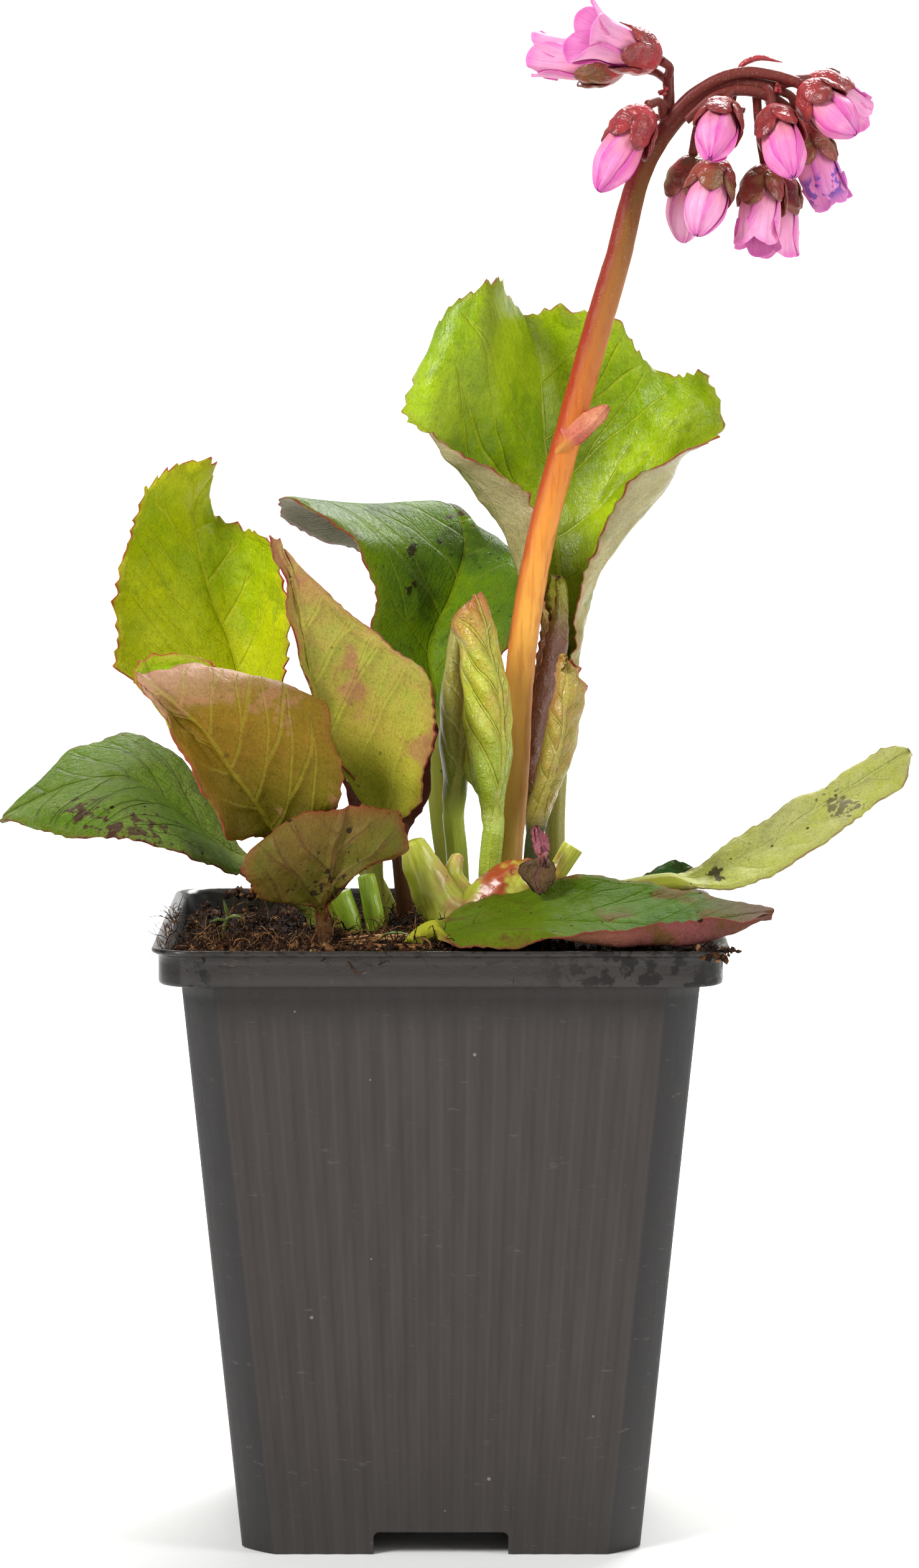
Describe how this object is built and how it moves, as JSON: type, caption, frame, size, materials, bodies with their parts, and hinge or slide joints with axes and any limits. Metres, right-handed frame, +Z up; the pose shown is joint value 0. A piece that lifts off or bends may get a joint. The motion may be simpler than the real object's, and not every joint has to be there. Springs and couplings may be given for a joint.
{
  "type": "potted bergenia",
  "caption": "Flowering perennial with broad leathery leaves and an arching stem of nodding bells, in a square tapered nursery pot filled with compost",
  "frame": {"origin": "on the ground, under the middle of the whole plant's box", "axes": "+Z up, X to the right and Y away from the front of the pot; millimetre sizes in the solids"},
  "size_m": [0.1509, 0.0922, 0.2506],
  "materials": {
    "pot_plastic": "satin dark grey moulded plastic",
    "compost": "moist fibrous peat compost",
    "bark": "torn bark fibre",
    "crown_flesh": "fleshy yellow-green rhizome with red patches",
    "scale_dry": "dry wrinkled scale",
    "stem_flesh": "waxy orange to maroon stem with fine gland dots",
    "leaf_green": "leathery dark green leaf, satin gloss",
    "leaf_lime": "leathery bright green leaf, satin gloss",
    "leaf_pale": "pale yellow-green leaf underside",
    "leaf_bronze": "bronze and olive leaf underside",
    "leaf_maroon": "dark maroon young leaf",
    "calyx_red": "dark red fleshy sepals",
    "petal_pink": "soft pink petals"
  },
  "bodies": {
    "root": {"pot": "pot_plastic", "compost": "compost", "crown": "crown_flesh", "cut_stub_wide": "crown_flesh", "cut_stub_split": "crown_flesh", "withered_scale": "scale_dry", "flower_stem": "stem_flesh", "bark_chip_back": "bark", "bark_chip_front": "bark", "leaf_tall_back": "leaf_lime", "leaf_arching": "leaf_green", "leaf_lime_left": "leaf_lime", "leaf_bronze_tall": "leaf_bronze", "leaf_bronze_left": "leaf_bronze", "leaf_small_front": "leaf_bronze", "leaf_low_left": "leaf_green", "leaf_on_rim": "leaf_green", "leaf_pale_right": "leaf_pale", "leaf_young_front": "leaf_bronze", "leaf_young_left": "leaf_green", "leaf_young_back": "leaf_maroon", "leaf_young_right": "leaf_bronze", "leaf_maroon_back": "leaf_maroon", "leaf_small_back": "leaf_green", "calyx_01": "calyx_red", "calyx_02": "calyx_red", "calyx_03": "calyx_red", "calyx_04": "calyx_red", "calyx_05": "calyx_red", "calyx_06": "calyx_red", "calyx_07": "calyx_red", "calyx_08": "calyx_red", "calyx_09": "calyx_red", "calyx_10": "calyx_red", "calyx_11": "calyx_red", "calyx_12": "calyx_red", "petals_01": "petal_pink", "petals_02": "petal_pink", "petals_03": "petal_pink", "petals_04": "petal_pink", "petals_05": "petal_pink", "petals_06": "petal_pink", "petals_07": "petal_pink", "petals_08": "petal_pink", "petals_09": "petal_pink", "petals_10": "petal_pink", "petals_11": "petal_pink", "petals_12": "petal_pink"}
  },
  "joints": []
}
